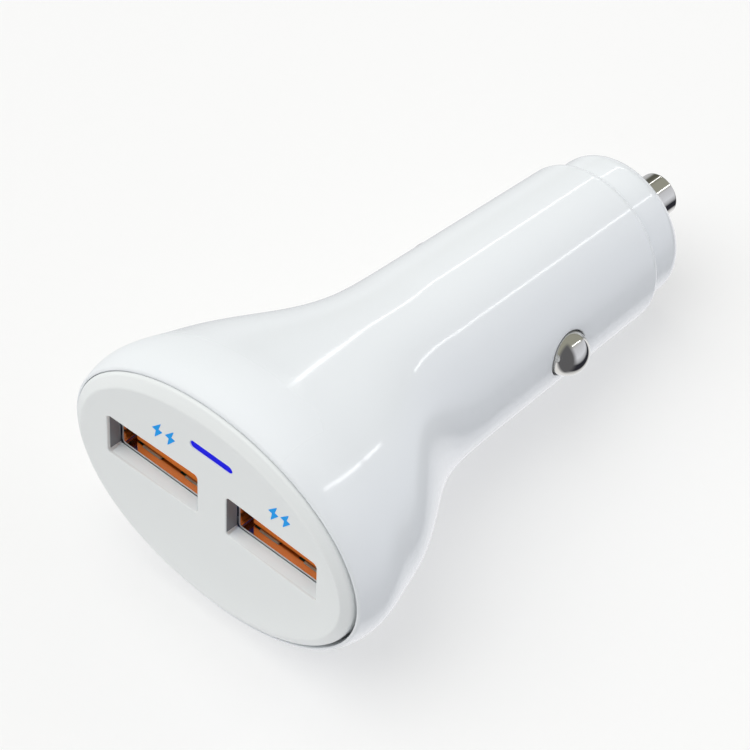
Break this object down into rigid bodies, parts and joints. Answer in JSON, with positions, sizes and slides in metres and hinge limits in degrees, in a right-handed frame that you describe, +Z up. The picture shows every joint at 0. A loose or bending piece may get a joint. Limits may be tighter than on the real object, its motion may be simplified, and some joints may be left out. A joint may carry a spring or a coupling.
{
  "type": "car usb charger plug",
  "caption": "White trumpet-shaped car charger plug: oval front with USB sockets and a blue light bar, tapered barrel with sprung side contacts and a sprung centre pin.",
  "frame": {"origin": "middle of the flat front face, on the plug axis", "axes": "+Y along the plug axis towards the nose, +X along the wide way of the oval front, +Z up along its short way"},
  "size_m": [0.0428, 0.071, 0.03],
  "materials": {
    "housing_white": "glossy moulded plastic",
    "panel_white": "satin moulded plastic",
    "light_blue": "lit acrylic",
    "shell_steel": "bright plated sheet",
    "tongue_orange": "moulded plastic",
    "strip_gold": "gold-plated strip",
    "board_green": "solder-masked laminate",
    "lamp_white": "moulded lamp body",
    "ferrite_grey": "sintered ferrite",
    "coil_copper": "enamelled copper wire",
    "can_aluminium": "bare can",
    "chip_black": "moulded epoxy",
    "fuse_ceramic": "ceramic body",
    "carrier_grey": "moulded plastic",
    "sheet_steel": "plated sheet",
    "spring_steel": "drawn wire",
    "contact_chrome": "bright nickel plate",
    "lead_red": "insulated wire",
    "lead_black": "insulated wire"
  },
  "bodies": {
    "body": {"housing": "housing_white", "front_panel": "panel_white", "nose_cap": "housing_white", "light_pipe": "light_blue", "usb_shell_left": "shell_steel", "usb_shell_right": "shell_steel", "usb_tongue_left": "tongue_orange", "usb_tongue_right": "tongue_orange", "usb_contacts_left": "strip_gold", "usb_contacts_right": "strip_gold", "circuit_board": "board_green", "status_led": "lamp_white", "inductor_core": "ferrite_grey", "inductor_coil": "coil_copper", "input_capacitor": "can_aluminium", "output_capacitor": "can_aluminium", "controller_chip": "chip_black", "diode": "chip_black", "fuse": "fuse_ceramic", "spring_carrier": "carrier_grey", "ground_bracket": "sheet_steel", "pin_plate": "sheet_steel", "left_spring": "spring_steel", "right_spring": "spring_steel", "pin_spring": "spring_steel", "positive_lead": "lead_red", "ground_lead": "lead_black"},
    "pin": {"centre_pin": "contact_chrome"},
    "left_button": {"left_contact": "contact_chrome"},
    "right_button": {"right_contact": "contact_chrome"}
  },
  "joints": [
    {"name": "pin_push", "type": "slide", "parent": "body", "child": "pin", "axis": [0, -1, 0], "range_m": [0, 0.003], "stiffness_N_per_m": 300, "springref_m": -0.003, "deforming": ["pin_spring"]},
    {"name": "left_button_push", "type": "slide", "parent": "body", "child": "left_button", "axis": [1, 0, 0], "range_m": [0, 0.0019], "stiffness_N_per_m": 400, "springref_m": -0.001, "deforming": ["left_spring"]},
    {"name": "right_button_push", "type": "slide", "parent": "body", "child": "right_button", "axis": [-1, 0, 0], "range_m": [0, 0.0019], "stiffness_N_per_m": 400, "springref_m": -0.001, "deforming": ["right_spring"]}
  ]
}
